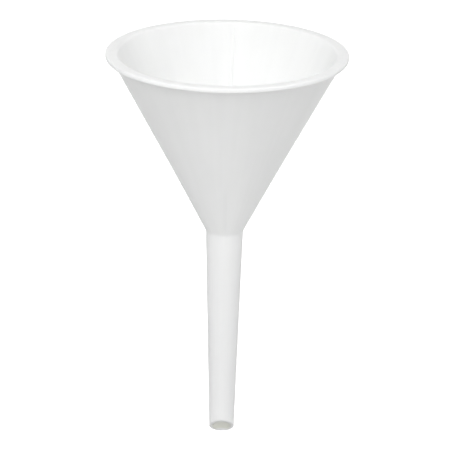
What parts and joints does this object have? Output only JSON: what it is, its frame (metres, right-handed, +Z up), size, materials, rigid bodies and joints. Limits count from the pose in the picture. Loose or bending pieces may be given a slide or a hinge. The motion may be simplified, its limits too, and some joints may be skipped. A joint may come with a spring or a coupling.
{
  "type": "laboratory funnel",
  "caption": "Conical filling funnel with a flat flanged rim and a long tapered stem cut off at a slant.",
  "frame": {"origin": "on the funnel's axis at the throat, where the outside of the bowl meets the stem", "axes": "+Z up along the axis, from the stem towards the rim; +Y the back, so the slanted tip is open towards -Y"},
  "size_m": [0.075, 0.075, 0.1279],
  "materials": {
    "white_plastic": "satin"
  },
  "bodies": {
    "root": {"funnel": "white_plastic"}
  },
  "joints": []
}
